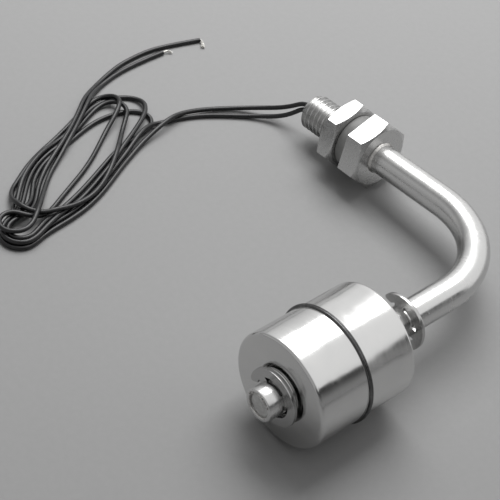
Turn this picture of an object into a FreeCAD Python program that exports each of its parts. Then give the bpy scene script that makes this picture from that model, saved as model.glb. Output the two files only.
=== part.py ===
"""Side-mounting float level switch: a bent steel stem with a float that slides between two clips.

World frame, millimetres: +Z up, the switch lying at rest on the plane z = 0. The float arm points along
-Y and is level. The thread arm points along -X and dips a little towards the cable end. Both arms are
measured from the knee, the point where their centre lines would cross if the stem had no bend.
"""
import FreeCAD, Part
import math
import os
import Sketcher

from FreeCAD import Placement, Rotation, Vector

doc = FreeCAD.newDocument("FloatSwitch")

# ---------------------------------------------------------------- driving dimensions, in millimetres
DIMENSIONS = {
    # bent stem
    "tube_radius": 4.0,
    "tube_bore": 3.0,
    "bend_radius": 24.8,
    "tube_start": 52.0,      # along the thread arm, inside the fitting's socket
    "tip_end": 83.2,         # along the float arm
    "tip_bevel": 0.3,
    "plug_recess": 0.8,
    "plug_length": 2.0,
    # M10 fitting with its hexagon, along the thread arm
    "hex_flats": 17.0,
    "hex_back": 47.2,
    "hex_length": 6.0,
    "hex_turn": 14.0,        # degrees, of a corner from straight down
    "shank_length": 20.0,
    "thread_radius": 5.0,
    "thread_chamfer": 0.8,
    "weld_width": 1.1,
    # gasket and lock nut
    "gasket_length": 3.8,
    "gasket_radius": 7.25,
    "seat_gap": 0.02,
    "running_gap": 0.05,
    "nut_length": 5.0,
    "nut_turn": 16.4,        # degrees
    "sink_width": 0.5,
    # retaining clips, for an 8 mm shaft
    "clip_radius": 7.15,
    "clip_thickness": 0.9,
    "clip_hollow": 4.9,
    "clip_lobe": 2.6,
    "clip_mouth": 2.9,       # half the width of the mouth
    "clip_corner": 0.7,
    "groove_radius": 3.5,
    "groove_gap": 0.03,      # on each side of a clip
    "rear_clip_back": 39.2,
    "front_clip_back": 78.3,
    # float, on an axis that lies above the stem's because the stem rests in its bore
    "float_lift": 0.7,
    "float_radius": 14.0,
    "float_length": 28.0,
    "float_front": 77.4,
    "shell_wall": 0.3,
    "shell_round": 0.9,
    "lip_radius": 14.65,
    "lip_width": 0.5,
    "lip_bevel": 0.15,
    "sleeve_bore": 5.0,
    "sleeve_wall": 0.3,
    "collar_radius": 5.9,
    "collar_height": 0.5,
    "collar_bevel": 0.2,
    "magnet_radius": 8.5,
    "magnet_length": 5.0,
    # reed switch inside the stem
    "reed_centre": 63.0,
    "glass_radius": 1.0,
    "glass_length": 14.0,
    "glass_wall": 0.25,
    "glass_seal": 1.6,       # of solid glass round each wire
    "glass_taper": 0.4,
    "blade_wire": 0.25,
    "blade_width": 0.9,
    "blade_thickness": 0.18,
    "blade_rise": 0.03,      # of each blade from the centre line, half the open gap
    "blade_overlap": 1.2,
    "blade_reach": 5.0,      # of the bare wire past each end of the glass
    "liner_radius": 3.0,
    "liner_wall": 0.3,
    "liner_before": 6.0,     # of the glass
    "liner_after": 7.0,
    # leads
    "lead_radius": 0.65,
    "lead_spacing": 0.8,     # from the bore's centre line
    "strand_radius": 0.3,
    "resin_start": 64.0,
    "resin_end": 72.9,
    # hank that both leads are looped into
    "hank_half_length": 33.0,
    "hank_half_width": 11.0,
    "hank_hole_length": 19.5,
    "hank_hole_width": 3.6,
    "hank_height": 3.6,
}

sheet = doc.addObject("Spreadsheet::Sheet", "Dims")
for row, (name, value) in enumerate(DIMENSIONS.items(), start=1):
    sheet.set("A%d" % row, name)
    sheet.set("B%d" % row, str(value))
    sheet.setAlias("B%d" % row, name)
doc.recompute()


def size(name):
    """The value of one cell of the sheet."""
    return float(sheet.get(name))


# ---------------------------------------------------------------- where the switch lies
CORNER_REACH = size("hex_flats") / math.sqrt(3)
KNEE_HEIGHT = size("lip_radius") - size("float_lift")
SHOULDER = size("hex_back") + size("hex_length")
NUT_START = SHOULDER + size("gasket_length")
NUT_END = NUT_START + size("nut_length")
THREAD_END = SHOULDER + size("shank_length")
# the lock nut's lowest corner touches the ground where its chamfer ends
NUT_CORNER_DROP = CORNER_REACH * math.cos(math.radians(size("nut_turn")))
NUT_CORNER_END = NUT_END - 0.9
DIP = math.asin((KNEE_HEIGHT - NUT_CORNER_DROP) / NUT_CORNER_END)
DIP_DEG = math.degrees(DIP)

# the frame's origin is under the middle of the box around the switch without its leads
LOW_X = -THREAD_END * math.cos(DIP) - (size("thread_radius") - size("thread_chamfer")) * math.sin(DIP)
HIGH_X = size("lip_radius")
LOW_Y = -size("tip_end")
HIGH_Y = CORNER_REACH * math.sin(math.radians(60 + size("nut_turn")))
KNEE = Vector(-(LOW_X + HIGH_X) / 2, -(LOW_Y + HIGH_Y) / 2, KNEE_HEIGHT)

X_AXIS = Vector(1, 0, 0)
Y_AXIS = Vector(0, 1, 0)
# stem frame: local X from the thread arm to the knee, local -Y along the float arm
STEM = Placement(KNEE, Rotation(Y_AXIS, -DIP_DEG))
# thread arm frame: local Z out along the thread arm, local X up
THREAD_ARM = Placement(KNEE, Rotation(Y_AXIS, -(90 + DIP_DEG)))
# float arm frame: local Z out along the float arm, local Y up
FLOAT_ARM = Placement(KNEE, Rotation(X_AXIS, 90))
FLOAT_AXIS = Placement(KNEE + Vector(0, 0, size("float_lift")), Rotation(X_AXIS, 90))
# the reed switch lies in line with the lower lead
REED_AXIS = Placement(KNEE - Vector(0, 0, size("lead_spacing")), Rotation(X_AXIS, 90))


# ---------------------------------------------------------------- helpers
def new_body(name, placement):
    """A body whose label is the sub-part's name."""
    body = doc.addObject("PartDesign::Body", name)
    body.Label = name
    body.Placement = placement
    return body


def origin_plane(body, role):
    """One of the body's own origin planes, such as XY_Plane."""
    return next(item for item in body.Origin.OriginFeatures if item.Role == role)


def new_sketch(body, name, role, height=None):
    """A sketch on an origin plane, raised along the plane's normal by a formula."""
    sketch = body.newObject("Sketcher::SketchObject", name)
    sketch.AttachmentSupport = [(origin_plane(body, role), "")]
    sketch.MapMode = "FlatFace"
    if height:
        sketch.setExpression("AttachmentOffset.Base.z", height)
    return sketch


def value_of(formula):
    """The number that a formula on the sheet gives."""
    return float(sheet.evalExpression(formula))


def bind(sketch, constraint, formula):
    """Add a dimension to a sketch and tie it to a formula."""
    index = sketch.addConstraint(constraint)
    sketch.setExpression("Constraints[%d]" % index, formula)


def add_circle(sketch, radius, centre_x=None, centre_y=None):
    """A circle tied to formulas, at the origin if no centre is given."""
    x = value_of(centre_x) if centre_x else 0
    y = value_of(centre_y) if centre_y else 0
    circle = sketch.addGeometry(Part.Circle(Vector(x, y, 0), Vector(0, 0, 1), value_of(radius)))
    bind(sketch, Sketcher.Constraint("Radius", circle, value_of(radius)), radius)
    if centre_x:
        bind(sketch, Sketcher.Constraint("DistanceX", -1, 1, circle, 3, x), centre_x)
    if centre_y:
        bind(sketch, Sketcher.Constraint("DistanceY", -1, 1, circle, 3, y), centre_y)
    if not centre_x and not centre_y:
        sketch.addConstraint(Sketcher.Constraint("Coincident", circle, 3, -1, 1))
    elif not centre_x:
        sketch.addConstraint(Sketcher.Constraint("PointOnObject", circle, 3, -2))
    elif not centre_y:
        sketch.addConstraint(Sketcher.Constraint("PointOnObject", circle, 3, -1))
    return circle


def add_polygon(sketch, corners):
    """A closed outline whose corners are pairs of formulas."""
    points = [Vector(value_of(x), value_of(y), 0) for x, y in corners]
    lines = []
    for start, end in zip(points, points[1:] + points[:1]):
        lines.append(sketch.addGeometry(Part.LineSegment(start, end)))
    for index, line in enumerate(lines):
        following = lines[(index + 1) % len(lines)]
        sketch.addConstraint(Sketcher.Constraint("Coincident", line, 2, following, 1))
    for line, point, (x, y) in zip(lines, points, corners):
        bind(sketch, Sketcher.Constraint("DistanceX", -1, 1, line, 1, point.x), x)
        bind(sketch, Sketcher.Constraint("DistanceY", -1, 1, line, 1, point.y), y)


def add_slot(sketch, half_length, half_width):
    """A closed slot along X, centred on the origin, tied to two formulas."""
    radius = value_of(half_width)
    reach = value_of(half_length) - radius
    right = sketch.addGeometry(Part.ArcOfCircle(
        Part.Circle(Vector(reach, 0, 0), Vector(0, 0, 1), radius), -math.pi / 2, math.pi / 2))
    left = sketch.addGeometry(Part.ArcOfCircle(
        Part.Circle(Vector(-reach, 0, 0), Vector(0, 0, 1), radius), math.pi / 2, 3 * math.pi / 2))
    top = sketch.addGeometry(Part.LineSegment(Vector(reach, radius, 0), Vector(-reach, radius, 0)))
    bottom = sketch.addGeometry(Part.LineSegment(Vector(-reach, -radius, 0), Vector(reach, -radius, 0)))
    sketch.addConstraint(Sketcher.Constraint("Tangent", right, 2, top, 1))
    sketch.addConstraint(Sketcher.Constraint("Tangent", top, 2, left, 1))
    sketch.addConstraint(Sketcher.Constraint("Tangent", left, 2, bottom, 1))
    sketch.addConstraint(Sketcher.Constraint("Tangent", bottom, 2, right, 1))
    sketch.addConstraint(Sketcher.Constraint("PointOnObject", right, 3, -1))
    sketch.addConstraint(Sketcher.Constraint("Symmetric", right, 3, left, 3, -1, 1))
    bind(sketch, Sketcher.Constraint("Radius", right, radius), half_width)
    bind(sketch, Sketcher.Constraint("DistanceX", -1, 1, right, 3, reach), half_length + " - " + half_width)


def pad(body, sketch, length, name):
    """Push a sketch out along its normal."""
    feature = body.newObject("PartDesign::Pad", name)
    feature.Profile = sketch
    feature.setExpression("Length", length)
    doc.recompute()
    return feature


def revolve(body, sketch, name, cut=False):
    """Turn a sketch round its own vertical axis, adding or cutting material."""
    feature = body.newObject("PartDesign::Groove" if cut else "PartDesign::Revolution", name)
    feature.Profile = sketch
    feature.ReferenceAxis = (sketch, ["V_Axis"])
    feature.Angle = 360.0
    before = 0 if not cut else body.Shape.Volume
    doc.recompute()
    if cut:
        assert body.Shape.Volume < before - 1e-6, name + " cuts nothing"
    return feature


def cylinder_hole(body, radius, start, length, name):
    """A round hole on the body's Z axis."""
    feature = body.newObject("PartDesign::SubtractiveCylinder", name)
    feature.setExpression("Radius", radius)
    feature.setExpression("Height", length)
    feature.setExpression("Placement.Base.z", start)
    before = body.Shape.Volume
    doc.recompute()
    assert body.Shape.Volume < before - 1e-6, name + " cuts nothing"
    return feature


def edge_names(shape, test):
    """The names of the edges that pass a test on their middle point, such as Edge3."""
    names = []
    for index, edge in enumerate(shape.Edges, start=1):
        middle = edge.valueAt((edge.FirstParameter + edge.LastParameter) / 2)
        if test(edge, middle):
            names.append("Edge%d" % index)
    return names


def dress_edges(body, kind, measure, formula, test, name):
    """Fillet or chamfer the edges that pass a test."""
    base = body.Tip
    names = edge_names(base.Shape, test)
    assert names, name + " finds no edge"
    feature = body.newObject("PartDesign::" + kind, name)
    feature.Base = (base, names)
    feature.setExpression(measure, formula)
    doc.recompute()
    return feature


def round_edges(body, radius, test, name):
    """Fillet the edges that pass a test."""
    return dress_edges(body, "Fillet", "Radius", radius, test, name)


def bevel_edges(body, width, test, name):
    """Chamfer the edges that pass a test."""
    return dress_edges(body, "Chamfer", "Size", width, test, name)


def is_circle(edge, radius, height):
    """Whether an edge is a circle of that radius at that height in the body's frame."""
    curve = edge.Curve
    if not isinstance(curve, Part.Circle):
        return False
    return abs(curve.Radius - radius) < 1e-3 and abs(curve.Center.z - height) < 1e-3


# ---------------------------------------------------------------- stem
def stem_path(body, name, start, end, offset=None):
    """The stem's centre line: two straight arms and the bend, in the body's XY plane."""
    path = new_sketch(body, name, "XY_Plane", offset)
    bend = value_of("Dims.bend_radius")
    first = path.addGeometry(Part.LineSegment(Vector(-value_of(start), 0, 0), Vector(-bend, 0, 0)))
    arc = path.addGeometry(Part.ArcOfCircle(
        Part.Circle(Vector(-bend, -bend, 0), Vector(0, 0, 1), bend), 0, math.pi / 2))
    last = path.addGeometry(Part.LineSegment(Vector(0, -bend, 0), Vector(0, -value_of(end), 0)))
    path.addConstraint(Sketcher.Constraint("Tangent", first, 2, arc, 2))
    path.addConstraint(Sketcher.Constraint("Tangent", arc, 1, last, 1))
    path.addConstraint(Sketcher.Constraint("PointOnObject", first, 1, -1))
    path.addConstraint(Sketcher.Constraint("Horizontal", first))
    path.addConstraint(Sketcher.Constraint("PointOnObject", last, 2, -2))
    path.addConstraint(Sketcher.Constraint("Vertical", last))
    bind(path, Sketcher.Constraint("Radius", arc, bend), "Dims.bend_radius")
    bind(path, Sketcher.Constraint("DistanceX", first, 1, -1, 1, value_of(start)), start)
    bind(path, Sketcher.Constraint("DistanceY", last, 2, -1, 1, value_of(end)), end)
    return path


def sweep(body, path, radius, start, name, offset=None, cut=False):
    """Sweep a circle along a stem path that begins at a distance along the thread arm."""
    section = new_sketch(body, name + "Section", "YZ_Plane", "-(" + start + ")")
    add_circle(section, radius, None, offset)
    kind = "PartDesign::SubtractivePipe" if cut else "PartDesign::AdditivePipe"
    pipe = body.newObject(kind, name)
    pipe.Profile = section
    pipe.Spine = path
    doc.recompute()
    return pipe


def make_stem_tube():
    """The bent tube, with a turned groove for each clip and a bevelled tip."""
    body = new_body("stem_tube", STEM)
    path = stem_path(body, "StemPath", "Dims.tube_start", "Dims.tip_end")
    sweep(body, path, "Dims.tube_radius", "Dims.tube_start", "TubeOutside")
    sweep(body, path, "Dims.tube_bore", "Dims.tube_start", "TubeBore", cut=True)
    for name, back in (("RearGroove", "Dims.rear_clip_back"), ("FrontGroove", "Dims.front_clip_back")):
        groove = new_sketch(body, name + "Outline", "XY_Plane")
        near = "-(" + back + " - Dims.groove_gap)"
        far = "-(" + back + " + Dims.clip_thickness + Dims.groove_gap)"
        add_polygon(groove, [("Dims.groove_radius", near), ("Dims.tube_radius + 1", near),
                             ("Dims.tube_radius + 1", far), ("Dims.groove_radius", far)])
        revolve(body, groove, name, cut=True)
    tip = -size("tip_end")
    radius = size("tube_radius")

    def at_tip(edge, middle):
        return abs(middle.y - tip) < 1e-3 and abs(math.hypot(middle.x, middle.z) - radius) < 1e-2
    bevel_edges(body, "Dims.tip_bevel", at_tip, "TipBevel")
    return body


def make_tip_plug():
    """The welded plug that closes the tube's tip, a little inside its rim."""
    body = new_body("tip_plug", FLOAT_ARM)
    start = "Dims.tip_end - Dims.plug_recess - Dims.plug_length"
    disc = new_sketch(body, "PlugOutline", "XY_Plane", start)
    add_circle(disc, "Dims.tube_bore")
    pad(body, disc, "Dims.plug_length", "Plug")
    return body


# ---------------------------------------------------------------- clips
def make_clip(name, back, mouth_deg):
    """A snap-on retaining clip: a thin disc with a mouth and three lobes that grip the groove."""
    body = new_body(name, FLOAT_ARM.multiply(Placement(Vector(), Rotation(Vector(0, 0, 1), mouth_deg))))
    ring = new_sketch(body, "RingOutline", "XY_Plane", back)
    add_circle(ring, "Dims.clip_radius")
    add_circle(ring, "Dims.clip_hollow")
    pad(body, ring, "Dims.clip_thickness", "Ring")
    lobe_start = size("groove_radius") - 0.5
    for index, angle in enumerate((66, 180, 294)):
        lobe = body.newObject("PartDesign::AdditiveBox", "Lobe%d" % index)
        turn = Rotation(Vector(0, 0, 1), angle)
        corner = turn.multVec(Vector(lobe_start, -size("clip_lobe") / 2, 0))
        lobe.Placement = Placement(corner, turn)
        lobe.setExpression("Placement.Base.z", back)
        lobe.setExpression("Length", "Dims.clip_hollow - Dims.groove_radius + 0.9")
        lobe.setExpression("Width", "Dims.clip_lobe")
        lobe.setExpression("Height", "Dims.clip_thickness")
        doc.recompute()
    cylinder_hole(body, "Dims.groove_radius", back, "Dims.clip_thickness", "Seat")
    mouth = body.newObject("PartDesign::SubtractiveBox", "Mouth")
    mouth.setExpression("Length", "Dims.clip_radius + 1")
    mouth.setExpression("Width", "2 * Dims.clip_mouth")
    mouth.setExpression("Height", "Dims.clip_thickness")
    mouth.setExpression("Placement.Base.y", "-Dims.clip_mouth")
    mouth.setExpression("Placement.Base.z", back)
    doc.recompute()
    corner_x = math.sqrt(size("clip_radius") ** 2 - size("clip_mouth") ** 2)

    def at_mouth_corner(edge, middle):
        return abs(middle.x - corner_x) < 1e-2 and edge.Length < 1
    round_edges(body, "Dims.clip_corner", at_mouth_corner, "MouthCorners")
    return body


# ---------------------------------------------------------------- threaded fitting
def hexagon(body, start, length, turn, name):
    """A hexagonal prism on the body's Z axis with a corner at an angle from its X axis."""
    prism = body.newObject("PartDesign::AdditivePrism", name)
    prism.Polygon = 6
    prism.Placement = Placement(Vector(), Rotation(Vector(0, 0, 1), size(turn)))
    prism.setExpression("Circumradius", "Dims.hex_flats / sqrt(3)")
    prism.setExpression("Height", length)
    prism.setExpression("Placement.Base.z", start)
    doc.recompute()
    return prism


def hex_chamfer(body, face, inward, name):
    """Turn a hexagon's corners down at 30 degrees from a face. Inward is + or - along Z."""
    outline = new_sketch(body, name + "Outline", "XZ_Plane")
    inner = "0.475 * Dims.hex_flats"
    outer = "0.65 * Dims.hex_flats"
    depth = "0.175 * Dims.hex_flats * tan(30 deg)"
    add_polygon(outline, [(inner, face), (outer, face), (outer, face + inward + depth)])
    revolve(body, outline, name, cut=True)


def make_fitting():
    """The hexagon, its M10 shank, the tube's socket, the leads' bore and the weld round the tube."""
    body = new_body("threaded_fitting", THREAD_ARM)
    hexagon(body, "Dims.hex_back", "Dims.hex_length", "hex_turn", "Hexagon")
    hex_chamfer(body, "Dims.hex_back", " + ", "HexChamfer")
    shank = new_sketch(body, "ShankOutline", "XY_Plane", "Dims.hex_back + Dims.hex_length")
    add_circle(shank, "Dims.thread_radius")
    pad(body, shank, "Dims.shank_length", "Shank")
    weld = new_sketch(body, "WeldOutline", "XZ_Plane")
    add_polygon(weld, [("Dims.tube_radius - 0.5", "Dims.hex_back + 0.5"),
                       ("Dims.tube_radius - 0.5", "Dims.hex_back - Dims.weld_width"),
                       ("Dims.tube_radius + 0.15", "Dims.hex_back - Dims.weld_width"),
                       ("Dims.tube_radius + 0.45", "Dims.hex_back - 0.45 * Dims.weld_width"),
                       ("Dims.tube_radius + Dims.weld_width", "Dims.hex_back"),
                       ("Dims.tube_radius + Dims.weld_width", "Dims.hex_back + 0.5")])
    revolve(body, weld, "Weld")
    end = THREAD_END

    def at_end(edge, middle):
        return is_circle(edge, size("thread_radius"), end)
    bevel_edges(body, "Dims.thread_chamfer", at_end, "ThreadChamfer")
    cylinder_hole(body, "Dims.tube_radius", "Dims.hex_back - Dims.weld_width",
                  "Dims.tube_start - Dims.hex_back + Dims.weld_width", "Socket")
    cylinder_hole(body, "Dims.tube_bore", "Dims.tube_start",
                  "Dims.hex_back + Dims.hex_length + Dims.shank_length - Dims.tube_start", "LeadBore")
    return body


def make_gasket():
    """The rubber ring squeezed between the hexagon's shoulder and the lock nut."""
    body = new_body("sealing_gasket", THREAD_ARM)
    ring = new_sketch(body, "GasketOutline", "XY_Plane", "Dims.hex_back + Dims.hex_length + Dims.seat_gap")
    add_circle(ring, "Dims.gasket_radius")
    add_circle(ring, "Dims.thread_radius + Dims.running_gap")
    pad(body, ring, "Dims.gasket_length - 2 * Dims.seat_gap", "Gasket")
    return body


def make_lock_nut():
    """The thin M10 lock nut, chamfered on both faces and countersunk at both ends of its bore."""
    body = new_body("lock_nut", THREAD_ARM)
    start = "Dims.hex_back + Dims.hex_length + Dims.gasket_length"
    hexagon(body, start, "Dims.nut_length", "nut_turn", "Hexagon")
    hex_chamfer(body, start, " + ", "InnerChamfer")
    hex_chamfer(body, start + " + Dims.nut_length", " - ", "OuterChamfer")
    bore = "Dims.thread_radius + Dims.running_gap"
    cylinder_hole(body, bore, start, "Dims.nut_length", "Bore")
    inside = bore + " - 0.4 * Dims.sink_width"
    end = start + " + Dims.nut_length"
    for name, face, inward in (("InnerSink", start, " + "), ("OuterSink", end, " - ")):
        sink = new_sketch(body, name + "Outline", "XZ_Plane")
        add_polygon(sink, [(inside, face), (bore + " + Dims.sink_width", face),
                           (inside, face + inward + "1.4 * Dims.sink_width")])
        revolve(body, sink, name, cut=True)
    return body


# ---------------------------------------------------------------- float
SEAM = "Dims.float_front - Dims.float_length / 2"
FLOAT_REAR = "Dims.float_front - Dims.float_length"


def make_shell(name, placement, seam):
    """A drawn cup with a rounded end, an out-turned lip at its mouth and a hole for the sleeve.

    Local Z runs from the seam to the cup's closed end."""
    body = new_body(name, placement)
    outline = new_sketch(body, "CupOutline", "XZ_Plane")
    end = seam + " + Dims.float_length / 2"
    inner_end = end + " - Dims.shell_wall"
    lip_end = seam + " + Dims.lip_width"
    hole = "Dims.sleeve_bore + Dims.sleeve_wall"
    inner = "Dims.float_radius - Dims.shell_wall"
    add_polygon(outline, [(hole, end), ("Dims.float_radius", end), ("Dims.float_radius", lip_end),
                          ("Dims.lip_radius", lip_end), ("Dims.lip_radius", seam), (inner, seam),
                          (inner, inner_end), (hole, inner_end)])
    revolve(body, outline, "Cup")

    def at_end(edge, middle):
        return is_circle(edge, size("float_radius"), value_of(end))

    def at_inner_end(edge, middle):
        return is_circle(edge, value_of(inner), value_of(inner_end))

    def at_lip(edge, middle):
        return is_circle(edge, size("lip_radius"), value_of(lip_end))
    round_edges(body, "Dims.shell_round", at_end, "EndRound")
    bevel_edges(body, "Dims.shell_round - Dims.shell_wall", at_inner_end, "InnerBevel")
    bevel_edges(body, "Dims.lip_bevel", at_lip, "LipBevel")
    return body


def make_float_sleeve():
    """The float's inner tube, rolled over at both ends into collars against the cups."""
    body = new_body("float_sleeve", FLOAT_AXIS)
    outline = new_sketch(body, "SleeveOutline", "XZ_Plane")
    bore = "Dims.sleeve_bore"
    wall = "Dims.sleeve_bore + Dims.sleeve_wall"
    rim = "Dims.collar_radius"
    rear = FLOAT_REAR
    front = "Dims.float_front"
    add_polygon(outline, [(bore, rear + " - Dims.collar_height"), (rim, rear + " - Dims.collar_height"),
                          (rim, rear), (wall, rear), (wall, front), (rim, front),
                          (rim, front + " + Dims.collar_height"), (bore, front + " + Dims.collar_height")])
    revolve(body, outline, "Sleeve")
    low = value_of(rear) - size("collar_height")
    high = value_of(front) + size("collar_height")

    def at_collar(edge, middle):
        return is_circle(edge, size("collar_radius"), low) or is_circle(edge, size("collar_radius"), high)
    bevel_edges(body, "Dims.collar_bevel", at_collar, "CollarBevel")
    return body


def make_magnet():
    """The ring magnet inside the float, at its middle."""
    body = new_body("float_magnet", FLOAT_AXIS)
    ring = new_sketch(body, "MagnetOutline", "XY_Plane", SEAM + " - Dims.magnet_length / 2")
    add_circle(ring, "Dims.magnet_radius")
    add_circle(ring, "Dims.sleeve_bore + Dims.sleeve_wall + Dims.running_gap")
    pad(body, ring, "Dims.magnet_length", "Magnet")
    return body


# ---------------------------------------------------------------- reed switch inside the stem
GLASS_START = "Dims.reed_centre - Dims.glass_length / 2"
GLASS_END = "Dims.reed_centre + Dims.glass_length / 2"
# a blade is flat from a little inside the end of its seal
FLAT_SETBACK = "(Dims.glass_seal + Dims.glass_taper / 2)"


def make_reed_glass():
    """The reed switch's glass capsule, hollow, with a wire seal at each end."""
    body = new_body("reed_glass", REED_AXIS)
    outline = new_sketch(body, "GlassOutline", "XZ_Plane")
    wire = "Dims.blade_wire"
    glass = "Dims.glass_radius"
    shoulder = "0.4 * Dims.glass_seal"
    seal = "Dims.glass_seal"
    inner = glass + " - Dims.glass_wall"
    hollow = seal + " + Dims.glass_taper"
    add_polygon(outline, [(wire, GLASS_START), ("0.6 * " + glass, GLASS_START),
                          (glass, GLASS_START + " + " + shoulder), (glass, GLASS_END + " - " + shoulder),
                          ("0.6 * " + glass, GLASS_END), (wire, GLASS_END),
                          (wire, GLASS_END + " - " + seal), (inner, GLASS_END + " - (" + hollow + ")"),
                          (inner, GLASS_START + " + " + hollow), (wire, GLASS_START + " + " + seal)])
    revolve(body, outline, "Capsule")
    return body


def make_blade(name, wire_start, flat_start, side):
    """A reed blade: a round wire through the glass, flattened inside it to one side of the centre."""
    body = new_body(name, REED_AXIS)
    wire = new_sketch(body, "WireOutline", "XY_Plane", wire_start)
    add_circle(wire, "Dims.blade_wire")
    pad(body, wire, "Dims.blade_reach + Dims.glass_seal + Dims.glass_taper", "Wire")
    flat = body.newObject("PartDesign::AdditiveBox", "Flat")
    flat.setExpression("Length", "Dims.blade_width")
    flat.setExpression("Width", "Dims.blade_thickness")
    flat.setExpression("Height", "(Dims.glass_length + Dims.blade_overlap) / 2 - " + FLAT_SETBACK)
    flat.setExpression("Placement.Base.x", "-Dims.blade_width / 2")
    rise = "Dims.blade_rise" if side > 0 else "-Dims.blade_rise - Dims.blade_thickness"
    flat.setExpression("Placement.Base.y", rise)
    flat.setExpression("Placement.Base.z", flat_start)
    doc.recompute()
    return body


def make_near_blade():
    """The blade on the bend's side."""
    wire_start = GLASS_START + " - Dims.blade_reach"
    return make_blade("reed_blade_near", wire_start, GLASS_START + " + " + FLAT_SETBACK, 1)


def make_far_blade():
    """The blade on the tip's side."""
    wire_start = GLASS_END + " - Dims.glass_seal - Dims.glass_taper"
    return make_blade("reed_blade_far", wire_start, "Dims.reed_centre - Dims.blade_overlap / 2", -1)


def make_return_wire():
    """The jumper from the far blade back past the glass to the upper lead."""
    body = new_body("reed_return_wire", REED_AXIS)
    turn_height = GLASS_END + " + Dims.blade_reach"
    top = value_of(turn_height)
    low = value_of(GLASS_START + " - Dims.blade_reach")
    bend_radius = size("lead_spacing")
    path = new_sketch(body, "ReturnPath", "YZ_Plane")
    bend = path.addGeometry(Part.ArcOfCircle(
        Part.Circle(Vector(bend_radius, top, 0), Vector(0, 0, 1), bend_radius), 0, math.pi))
    leg = path.addGeometry(Part.LineSegment(Vector(2 * bend_radius, top, 0), Vector(2 * bend_radius, low, 0)))
    path.addConstraint(Sketcher.Constraint("Tangent", leg, 1, bend, 1))
    path.addConstraint(Sketcher.Constraint("Vertical", leg))
    path.addConstraint(Sketcher.Constraint("PointOnObject", bend, 2, -2))
    path.addConstraint(Sketcher.Constraint("Horizontal", bend, 2, bend, 3))
    bind(path, Sketcher.Constraint("Radius", bend, bend_radius), "Dims.lead_spacing")
    bind(path, Sketcher.Constraint("DistanceY", -1, 1, bend, 3, top), turn_height)
    bind(path, Sketcher.Constraint("DistanceY", -1, 1, leg, 2, low), GLASS_START + " - Dims.blade_reach")
    section = new_sketch(body, "ReturnSection", "XY_Plane", turn_height)
    add_circle(section, "Dims.blade_wire")
    pipe = body.newObject("PartDesign::AdditivePipe", "ReturnWire")
    pipe.Profile = section
    pipe.Spine = path
    doc.recompute()
    return body


def make_liner():
    """The insulating liner between the reed switch and the stem's bore."""
    body = new_body("reed_liner", FLOAT_ARM)
    ring = new_sketch(body, "LinerOutline", "XY_Plane", GLASS_START + " - Dims.liner_before")
    add_circle(ring, "Dims.liner_radius")
    add_circle(ring, "Dims.liner_radius - Dims.liner_wall")
    pad(body, ring, "Dims.liner_before + Dims.glass_length + Dims.liner_after", "Liner")
    return body


def make_stem_lead(name, side):
    """The stretch of a lead inside the stem, from the reed switch to the end of the thread."""
    body = new_body(name, STEM)
    start = "Dims.hex_back + Dims.hex_length + Dims.shank_length"
    offset = side + "Dims.lead_spacing"
    path = stem_path(body, "LeadPath", start, GLASS_START + " - Dims.blade_reach", offset)
    sweep(body, path, "Dims.lead_radius", start, "Lead", offset)
    return body


def make_resin():
    """The resin plug that seals the two leads into the threaded end."""
    body = new_body("potting_resin", THREAD_ARM)
    plug = new_sketch(body, "ResinOutline", "XY_Plane", "Dims.resin_start")
    add_circle(plug, "Dims.tube_bore")
    add_circle(plug, "Dims.lead_radius", "Dims.lead_spacing")
    add_circle(plug, "Dims.lead_radius", "-Dims.lead_spacing")
    pad(body, plug, "Dims.resin_end - Dims.resin_start", "Resin")
    return body


# ---------------------------------------------------------------- free leads
HANK_CENTRE = Vector(-66.8, -26.05, 0)
HANK_ANGLE = 115.4

# places on the ground under each lead, and its centre's height above them
LEAD_A_START = [(-52.0, 34.85), (-55.4, 32.85), (-58.5, 30.15), (-61.6, 26.15), (-64.4, 21.45),
                (-66.7, 16.05), (-67.9, 10.25), (-67.5, 4.65), (-66.4, -0.35), (-65.4, -4.15)]
LEAD_A_START_HEIGHT = [5.6, 3.2, 1.9, 1.1, 0.8, 1.0, 1.9, 2.6, 2.2, 1.9]
LEAD_B_START = [(-51.2, 33.75), (-54.1, 30.45), (-57.2, 26.95), (-60.3, 22.85), (-63.1, 18.25),
                (-65.5, 12.85), (-67.4, 7.65), (-68.9, 2.85), (-69.0, -1.15)]
LEAD_B_START_HEIGHT = [3.7, 1.9, 1.0, 0.65, 0.65, 0.65, 0.65, 0.7, 1.0]
LEAD_A_END = [(-86.0, -10.15), (-88.6, -5.75), (-91.2, -0.95), (-94.2, 5.65), (-96.1, 12.85),
              (-96.6, 20.25), (-95.3, 27.85), (-93.1, 35.75)]
LEAD_A_END_HEIGHT = [1.3, 0.9, 0.65, 0.65, 0.65, 0.65, 0.65, 0.65]
LEAD_B_END = [(-85.6, -6.75), (-87.8, -2.95), (-89.7, 1.05), (-91.8, 6.25), (-93.2, 12.85), (-93.8, 19.25)]
LEAD_B_END_HEIGHT = [1.3, 0.8, 0.65, 0.65, 0.65, 0.65]


def route(ground, heights):
    """Route points from places on the ground and heights above it."""
    return [Vector(x, y, z) for (x, y), z in zip(ground, heights)]


def rounded_path(points, label):
    """Straight runs joined by tangent arcs, each as large as its two runs allow."""
    edges = []
    start = points[0]
    radii = []
    for before, corner, after in zip(points, points[1:], points[2:]):
        arriving = (corner - before)
        leaving = (after - corner)
        turn = arriving.getAngle(leaving)
        back = 0.45 * min(arriving.Length, leaving.Length)
        radii.append(back / math.tan(turn / 2))
        arc_start = corner - arriving.normalize() * back
        arc_end = corner + leaving.normalize() * back
        towards = (leaving - arriving).normalize()
        middle = corner + towards * (radii[-1] / math.cos(turn / 2) - radii[-1])
        edges.append(Part.LineSegment(start, arc_start).toShape())
        edges.append(Part.Arc(arc_start, middle, arc_end).toShape())
        start = arc_end
    edges.append(Part.LineSegment(start, points[-1]).toShape())
    print("%-14s smallest radius %.1f, turns %s" % (label, min(radii), [round(r, 1) for r in radii]))
    return Part.Wire(edges)


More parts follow.
